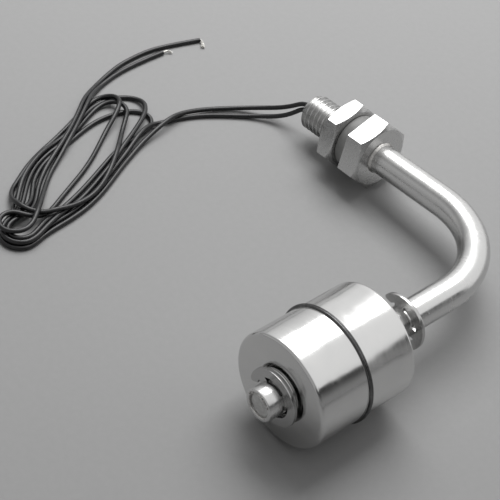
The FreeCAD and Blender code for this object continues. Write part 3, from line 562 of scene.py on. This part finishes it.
def makeStemTube():
    # drawn with the thread arm along X, the float arm along Y and the knee at the origin
    clearSelection()
    bpy.ops.mesh.primitive_circle_add(vertices=stem["sides"], radius=stem["radius"] * mm,
                                      rotation=(0, math.radians(90), 0), location=(stem["start"] * mm, 0, 0))
    tube = nameIt("stemTube")
    bpy.ops.object.transform_apply(location=True, rotation=True, scale=True)
    bpy.ops.object.mode_set(mode="EDIT")
    bpy.ops.mesh.select_all(action="SELECT")
    bend = stem["bend"]
    middle = Vector((bend, bend, 0)) * mm

    def alongX(distance):
        bpy.ops.mesh.extrude_edges_move(TRANSFORM_OT_translate={"value": (distance * mm, 0, 0)})

    def alongY(start, rings):
        at, radius = start
        for nextAt, nextRadius in rings:
            bpy.ops.mesh.extrude_edges_move(TRANSFORM_OT_translate={"value": (0, (nextAt - at) * mm, 0)})
            grow = nextRadius / radius
            bpy.ops.transform.resize(value=(grow, 1, grow), center_override=(0, nextAt * mm, 0))
            at, radius = nextAt, nextRadius

    def roundBend(angle):
        bpy.ops.mesh.spin(steps=stem["bendSteps"], angle=angle, center=middle, axis=(0, 0, 1))

    outer, groove, bore = stem["radius"], stem["groove"], stem["bore"]
    alongX(bend - stem["start"])
    roundBend(math.pi / 2)
    rings = []
    for near, far in stem["grooves"]:
        rings += [(near, outer), (near, groove), (far, groove), (far, outer)]
    tip, bevel = stem["tip"], stem["bevel"]
    rings += [(tip - bevel, outer), (tip - stem["bevelBack"], outer - stem["bevelIn"]), (tip, outer - bevel),
              (tip, bore + stem["mouthWide"]), (tip - stem["mouthDeep"], bore), (bend, bore)]
    alongY((bend, outer), rings)
    roundBend(-math.pi / 2)
    alongX(stem["start"] - bend)
    pick(tube, lambda e: len(e.link_faces) < 2, "edges")
    bpy.ops.mesh.bridge_edge_loops()
    closeUp()
    place(tube, Matrix.Translation(knee) @ Matrix((threadAlong, floatAlong, threadUp)).transposed().to_4x4())
    smooth(tube)
    dress(tube, "stem", "tubeSteel", "tube_steel", "stem_tube")


# a disc with a dished face, whose ridge stands a little inside the bore
plug = {
    "front": 82.7, "back": 80.4, "dish": 0.15, "edge": 0.1, "dishRadius": 1.6, "dishRound": 0.6,
    "ridgeIn": 0.35, "ridgeRound": 0.15,
}


def makeTipPlug():
    front, back, edge, bore = plug["front"], plug["back"], plug["front"] - plug["edge"], stem["bore"]
    disc = lathe("tipPlug", [(front - plug["dish"], 0), (edge, plug["dishRadius"], plug["dishRound"]),
                             (front, bore - plug["ridgeIn"], plug["ridgeRound"]), (edge, bore),
                             (back, bore), (back, 0)], 64, closed=False)
    place(disc, stemArm)
    smooth(disc)
    dress(disc, "stem", "plugSteel", "tube_steel", "tip_plug")


tipWeld = {
    "ring": 3.15, "size": 0.26, "deep": 0.3, "ripple": 0.3, "rippleWidth": 0.9,
    "heapFrom": 0.45,  # the heap starts this far across the ring
    "heapGrow": (1.07, 1.07, 1.5), "heapSeat": 0.2, "heap": 0.24, "seed": 3,
}


def makeTipWeld():
    # the bead that seals the plug, heaped and rippled where the torch went round
    clearSelection()
    ring, size = tipWeld["ring"] * mm, tipWeld["size"] * mm
    bpy.ops.mesh.primitive_torus_add(major_radius=ring, minor_radius=size, major_segments=120,
                                     minor_segments=14, location=(0, 0, (stem["tip"] - tipWeld["deep"]) * mm))
    bead = nameIt("tipWeld")
    bpy.ops.object.transform_apply(location=True, rotation=True, scale=True)
    ripple(bead, "ripples", tipWeld["rippleWidth"], tipWeld["ripple"])
    bpy.ops.object.mode_set(mode="EDIT")
    pick(bead, lambda v: v.co.y > tipWeld["heapFrom"] * ring)
    seat = (0, 0, (stem["tip"] - tipWeld["heapSeat"]) * mm)
    bpy.ops.transform.resize(value=tipWeld["heapGrow"], center_override=seat)
    bpy.ops.transform.vertex_random(offset=tipWeld["heap"] * mm, uniform=1.0, normal=0.0,
                                    seed=tipWeld["seed"])
    clearSelection()
    place(bead, stemArm)
    smooth(bead, 60)
    dress(bead, "stem", "weldSteel", "tube_steel", "tip_plug")


makeStemTube()
makeTipPlug()
makeTipWeld()
print("stage: stem")

shell = {
    "radius": 14.0, "wall": 0.3, "front": 77.4, "middle": 63.4, "length": 28.0, "round": 0.9,
    "lip": 14.65, "lipWidth": 0.55, "lipRound": 0.42, "edge": 0.12, "seamGap": 0.01, "hole": 5.3,
    "paintedShadeFrom": 0.06,  # outside the float's radius, where the lips take the painted shade
}
sleeve = {"bore": 5.0, "wall": 0.3, "collar": 5.9, "collarHeight": 0.5, "collarRound": 0.2, "edge": 0.12}


def makeShell(name, node, forward):
    middle, radius, wall, edge = shell["middle"], shell["radius"], shell["wall"], shell["edge"]
    seam, lip, lipWidth, hole = shell["seamGap"], shell["lip"], shell["lipWidth"], shell["hole"]
    reach = shell["length"] / 2
    outline = [(seam, radius - wall), (seam, lip, edge), (lipWidth, lip, shell["lipRound"]),
               (lipWidth, radius, edge), (reach, radius, shell["round"]), (reach, hole),
               (reach - wall, hole), (reach - wall, radius - wall, shell["round"] - wall)]
    cup = lathe(name, [(middle + forward * h, r, *extra) for h, r, *extra in outline], 160)
    place(cup, floatArm)
    smooth(cup)
    dress(cup, "float", "floatSteel", "float_steel", node)
    paintSeamShade(cup)


def paintSeamShade(cup):
    # painted shade and painted dark reflection: the rolled lips at the seam get a near-black steel in place
    # of their shadowed gap and the dark things they mirror
    cup.data.materials.append(finishes["seamPaintedShade"])
    axis = knee + floatLift
    for face in cup.data.polygons:
        reach = math.hypot(face.center.x - axis.x, face.center.z - axis.z)
        if reach > (shell["radius"] + shell["paintedShadeFrom"]) * mm:
            face.material_index = 1


def makeSleeve():
    front = shell["front"]
    rear = front - shell["length"]
    bore, collar, height = sleeve["bore"], sleeve["collar"], sleeve["collarHeight"]
    outside, edge, soft = bore + sleeve["wall"], sleeve["edge"], sleeve["collarRound"]
    tube = lathe("floatSleeve", [(rear - height, bore, edge), (rear - height, collar, soft),
                                 (rear, collar, edge), (rear, outside), (front, outside),
                                 (front, collar, edge), (front + height, collar, soft),
                                 (front + height, bore, edge)])
    place(tube, floatArm)
    smooth(tube)
    dress(tube, "float", "floatSteel", "float_steel", "float_sleeve")


makeShell("floatFront", "float_front_shell", 1)
makeShell("floatRear", "float_rear_shell", -1)
makeSleeve()
print("stage: float")

# both hexagons: the barrel's rim and widest place as shares of the flats, its cones in degrees
hexCut = {"rim": 0.475, "wide": 0.65, "cone": 30, "past": 0.01, "edge": 0.08, "sides": 144}
toFlat = 30  # degrees from a corner to the middle of a flat


def barrelSizes(flats):
    rim, wide = hexCut["rim"] * flats, hexCut["wide"] * flats
    return rim, wide, math.tan(math.radians(hexCut["cone"])) * (wide - rim)


def hexBlock(name, flats, start, end, turn, barrel):
    # a six-sided bar cut by a turned barrel, whose cones chamfer the corners and whose bore goes through
    clearSelection()
    bpy.ops.mesh.primitive_cylinder_add(vertices=6, radius=flats / math.sqrt(3) * mm,
                                        depth=(end - start) * mm, location=(0, 0, (start + end) / 2 * mm),
                                        rotation=(0, 0, math.radians(turn - toFlat)))
    block = nameIt(name)
    bpy.ops.object.transform_apply(location=True, rotation=True, scale=True)
    cutter = lathe(name + "Barrel", barrel, hexCut["sides"])
    applied(block, "barrel", "BOOLEAN", operation="INTERSECT", solver="EXACT", object=cutter)
    bpy.data.objects.remove(cutter)
    applied(block, "edges", "BEVEL", width=hexCut["edge"] * mm, segments=2, limit_method="ANGLE",
            angle_limit=math.radians(25))
    place(block, threadArm)
    smooth(block, 30)
    flatFaces(block)
    return block


fitting = {
    "flats": 17.0, "back": 47.2, "shoulder": 53.2, "end": 73.2, "turn": 14.0, "socket": 4.0,
    "tubeStart": 52.0, "bore": 3.0, "overShoulder": 1,
}


def makeFittingHex():
    back, shoulder, flats = fitting["back"], fitting["shoulder"], fitting["flats"]
    socket, bore, tubeStart = fitting["socket"], fitting["bore"], fitting["tubeStart"]
    rim, wide, slope = barrelSizes(flats)
    under, over = back - hexCut["past"], shoulder + fitting["overShoulder"]
    hexagon = hexBlock("fittingHex", flats, back, shoulder, fitting["turn"],
                       [(under, socket), (under, rim), (back + slope, wide), (over, wide), (over, bore),
                        (tubeStart, bore), (tubeStart, socket)])
    dress(hexagon, "stem", "fittingSteel", "fitting_steel", "threaded_fitting")


def pullTo(piece, radius, height):
    # moves the selected ring onto a circle at a height on the arm's axis
    shape = bmesh.from_edit_mesh(piece.data)
    for vertex in [v for v in shape.verts if v.select]:
        reach = math.hypot(vertex.co.x, vertex.co.y)
        vertex.co = (vertex.co.x / reach * radius * mm, vertex.co.y / reach * radius * mm, height * mm)
    bmesh.update_edit_mesh(piece.data)


thread = {
    "pitch": 1.5, "crest": 5.0, "root": 4.1, "sides": 72,
    "rise": 0.19, "crestFrom": 0.5, "crestTo": 0.62, "fall": 0.95,  # of one pitch
    "lap": 0.2,  # into the hexagon
    "before": 1.3,  # pitches that are cut off again at the start
    "mergeGap": 0.004,
    "runIn": 0.8, "cuts": (1, 0.66, 0.33, 0),  # rings across the run-in, as shares of it back from the end
    "mouth": 0.4,
}


def makeThread():
    # one pitch of the thread's outline, run round as a screw, then cut off and turned down at the end
    pitch, crest, root, runIn = thread["pitch"], thread["crest"], thread["root"], thread["runIn"]
    start, end = fitting["shoulder"] - thread["lap"], fitting["end"]
    first = start - thread["before"] * pitch
    outline = [(first, root), (first + thread["rise"] * pitch, root),
               (first + thread["crestFrom"] * pitch, crest), (first + thread["crestTo"] * pitch, crest),
               (first + thread["fall"] * pitch, root), (first + pitch, root)]
    screw = drawOutline("fittingThread", outline)
    applied(screw, "helix", "SCREW", axis="Z", angle=math.tau, screw_offset=pitch * mm,
            iterations=int((end - first) / pitch) + 2, steps=thread["sides"], render_steps=thread["sides"],
            use_merge_vertices=True, merge_threshold=mergeGap)
    bpy.ops.object.mode_set(mode="EDIT")
    bpy.ops.mesh.select_all(action="SELECT")
    bpy.ops.mesh.remove_doubles(threshold=thread["mergeGap"] * mm)
    for share in thread["cuts"]:
        cut = (0, 0, (end - share * runIn) * mm)
        bpy.ops.mesh.select_all(action="SELECT")
        bpy.ops.mesh.bisect(plane_co=cut, plane_no=(0, 0, 1), clear_outer=share == 0)
    bpy.ops.mesh.select_all(action="SELECT")
    bpy.ops.mesh.bisect(plane_co=(0, 0, start * mm), plane_no=(0, 0, 1), clear_inner=True)
    shape = bmesh.from_edit_mesh(screw.data)
    for vertex in shape.verts:
        reach = math.hypot(vertex.co.x, vertex.co.y)
        most = (crest - max(0, vertex.co.z / mm - end + runIn)) * mm
        if reach > most:
            vertex.co.x *= most / reach
            vertex.co.y *= most / reach
    bmesh.update_edit_mesh(screw.data)
    pick(screw, lambda e: e.is_boundary and min(v.co.z for v in e.verts) > end * mm - nearby, "edges")
    bore, mouth = fitting["bore"], thread["mouth"]
    for radius, height in ((bore + mouth, end), (bore, end - mouth), (bore, start)):
        bpy.ops.mesh.extrude_edges_move(TRANSFORM_OT_translate={"value": (0, 0, 0)})
        pullTo(screw, radius, height)
    pick(screw, lambda e: e.is_boundary, "edges")
    bpy.ops.mesh.bridge_edge_loops()
    closeUp()
    place(screw, threadArm)
    smooth(screw, 25)
    dress(screw, "stem", "fittingSteel", "fitting_steel", "threaded_fitting")


weld = {
    "width": 0.7, "rise": 0.45, "inside": 0.3, "foot": 0.05, "crown": 0.55, "crownRound": 0.25,
    "backRound": 0.15, "ripple": 0.12, "rippleWidth": 1.2,
}


def makeWeldCollar():
    back, radius, inside = fitting["back"], stem["radius"], weld["inside"]
    width, rise, foot, crown = weld["width"], weld["rise"], weld["foot"], weld["crown"]
    bead = lathe("weldCollar", [(back + inside, radius - inside), (back - width, radius - inside),
                                (back - width, radius + foot, foot),
                                (back - crown * width, radius + crown * rise, weld["crownRound"]),
                                (back, radius + rise, weld["backRound"]), (back + inside, radius + rise)])
    ripple(bead, "weldRipples", weld["rippleWidth"], weld["ripple"])
    place(bead, threadArm)
    smooth(bead, 50)
    dress(bead, "stem", "weldSteel", "fitting_steel", "threaded_fitting")


nut = {"flats": 17.0, "start": 57.0, "end": 62.0, "turn": 16.4, "bore": 5.05, "sink": 0.5}


def makeLockNut():
    start, end, flats, bore, sink = nut["start"], nut["end"], nut["flats"], nut["bore"], nut["sink"]
    rim, wide, slope = barrelSizes(flats)
    below, above = start - hexCut["past"], end + hexCut["past"]
    lockNut = hexBlock("lockNut", flats, start, end, nut["turn"],
                       [(below, bore + sink), (below, rim), (start + slope, wide), (end - slope, wide),
                        (above, rim), (above, bore + sink), (end - sink, bore), (start + sink, bore)])
    dress(lockNut, "nut", "fittingSteel", "fitting_steel", "lock_nut")


gasket = {"start": 53.22, "end": 56.98, "bore": 5.05, "radius": 7.25, "boreRound": 0.2, "rimRound": 0.35}


def makeGasket():
    start, end, bore, radius = gasket["start"], gasket["end"], gasket["bore"], gasket["radius"]
    inner, outer = gasket["boreRound"], gasket["rimRound"]
    ring = lathe("gasketRing", [(start, bore, inner), (start, radius, outer), (end, radius, outer),
                                (end, bore, inner)])
    place(ring, threadArm)
    smooth(ring, 50)
    dress(ring, "gasket", "greyRubber", "gasket_rubber", "sealing_gasket")


makeFittingHex()
makeThread()
makeWeldCollar()
makeLockNut()
makeGasket()
print("stage: fitting")

clipEdge = 0.07  # of the rolled edges of a stamped clip


def makeClip(node, name):
    # the solid's own outline, with rolled edges
    clearSelection()
    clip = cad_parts[node].copy()
    clip.data = clip.data.copy()
    bpy.context.scene.collection.objects.link(clip)
    clip.parent = None
    only(clip)
    nameIt(name)
    bpy.ops.object.mode_set(mode="EDIT")
    bpy.ops.mesh.select_all(action="SELECT")
    bpy.ops.mesh.remove_doubles(threshold=mergeGap)
    bpy.ops.mesh.dissolve_limited(angle_limit=math.radians(1))
    applied(clip, "edges", "BEVEL", width=clipEdge * mm, segments=2, limit_method="ANGLE",
            angle_limit=math.radians(40))
    smooth(clip, 35)
    flatFaces(clip)
    dress(clip, "stem", "clipSteel", "clip_steel", node)


makeClip("rear_clip", "rearClip")
makeClip("front_clip", "frontClip")
print("stage: clips")

# what the stem and float hold inside keeps its solid and takes a finish
inside = {
    "float_magnet": "ferrite", "reed_glass": "sealedGlass", "reed_blade_near": "reedMetal",
    "reed_blade_far": "reedMetal", "reed_return_wire": "tinnedCopper", "reed_liner": "linerPlastic",
    "stem_lead_a": "blackPvc", "stem_lead_b": "blackPvc", "potting_resin": "epoxy",
}
for node, finish in inside.items():
    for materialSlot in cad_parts[node].material_slots:
        materialSlot.material = finishes[finish]

floorLook = {
    "size": 6, "drop": 0.00002, "colour": (0.42, 0.42, 0.42), "darker": 0.97, "grain": 0.6, "detail": 3.0,
    "roughness": 0.7, "gloss": 0.2,
}
softbox = {
    "place": (-0.265, 0.245, 0.50), "target": (-0.265, 0.20, 0), "width": 0.55, "height": 0.41,
    "power": 3.3,
}
sky = {
    "fill": 0.42,  # how much of the room lights the object, while metal shows all of it
    "glow": (0.0, 0.75, 0.66),  # towards the brightest part of the room
    "glowFrom": -0.5,  # where the room's brightness starts, from behind the glow
    "room": [(0.0, 0.40), (0.19, 0.50), (0.39, 0.28), (0.60, 0.70), (0.75, 0.95), (1.0, 1.0)],
    "card": [(0.0, 0.26), (0.14, 0.24), (0.27, 0.12), (0.36, 0.04)],  # from low to high
    "cardSide": 0.62, "cardSideSoft": 0.04,  # a dark card stands on the right
    "cardTop": 0.46, "cardTopSoft": 0.01,  # up to this height of direction
}


def makeFloor():
    clearSelection()
    bpy.ops.mesh.primitive_plane_add(size=floorLook["size"], location=(0, 0, -floorLook["drop"]))
    floor = nameIt("floor")
    bpy.ops.object.transform_apply(location=True, rotation=True, scale=True)
    material, shader, pen = newMaterial(
        "paleFloor", **{"Roughness": floorLook["roughness"], "Specular IOR Level": floorLook["gloss"]})
    grain = noise(pen, armPlaces(pen), floorLook["grain"], floorLook["detail"])
    light = floorLook["colour"]
    dark = [channel * floorLook["darker"] for channel in light]
    shades(grain, (0.3, dark), (0.7, light)).into(shader, "Base Color")
    floor.data.materials.append(material)


def makeLamp(name, look):
    clearSelection()
    bpy.ops.object.light_add(type="AREA", location=look["place"])
    lamp = bpy.context.object
    lamp.name = name
    lamp.data.shape = "RECTANGLE"
    lamp.data.size = look["width"]
    lamp.data.size_y = look["height"]
    lamp.data.energy = look["power"]
    away = Vector(look["target"]) - Vector(look["place"])
    lamp.rotation_euler = away.to_track_quat("-Z", "Y").to_euler()


def greys(wire, stops):
    return shades(wire, *[(stop, (grey, grey, grey)) for stop, grey in stops])


def makeSky():
    world = bpy.data.worlds.new("studio")
    bpy.context.scene.world = world
    world.use_nodes = True
    background = world.node_tree.nodes["Background"]
    pen = Wire(world.node_tree)
    towards = pen.node("ShaderNodeTexCoord", output="Generated")
    split = pen.node("ShaderNodeSeparateXYZ", {}, {"Vector": towards})
    side, height = split.part("X"), split.part("Z")
    product = {"operation": "DOT_PRODUCT"}
    near = pen.node("ShaderNodeVectorMath", product, {0: towards, 1: sky["glow"]}, "Value")
    room = greys(spread(near, 0.0, 1.0, sky["glowFrom"], 1.0), sky["room"])
    card = greys(height, sky["card"])
    behind = spread(side, 0.0, 1.0, sky["cardSide"], sky["cardSide"] + sky["cardSideSoft"])
    under = spread(height, 1.0, 0.0, sky["cardTop"] - sky["cardTopSoft"], sky["cardTop"] + sky["cardTopSoft"])
    # a colour mix takes its factor at input 0 and its colours at 6 and 7, and gives its colour at output 2
    mixed = pen.node("ShaderNodeMix", {"data_type": "RGBA"}, {0: behind * under, 6: room, 7: card}, 2)
    mixed.into(background, "Color")
    glossy = pen.node("ShaderNodeLightPath", output="Is Glossy Ray")
    spread(glossy, sky["fill"], 1.0, 0.0, 1.0).into(background, "Strength")


makeFloor()
makeLamp("softbox", softbox)
makeSky()
bpy.context.scene.view_settings.view_transform = "Standard"
print("stage: studio")
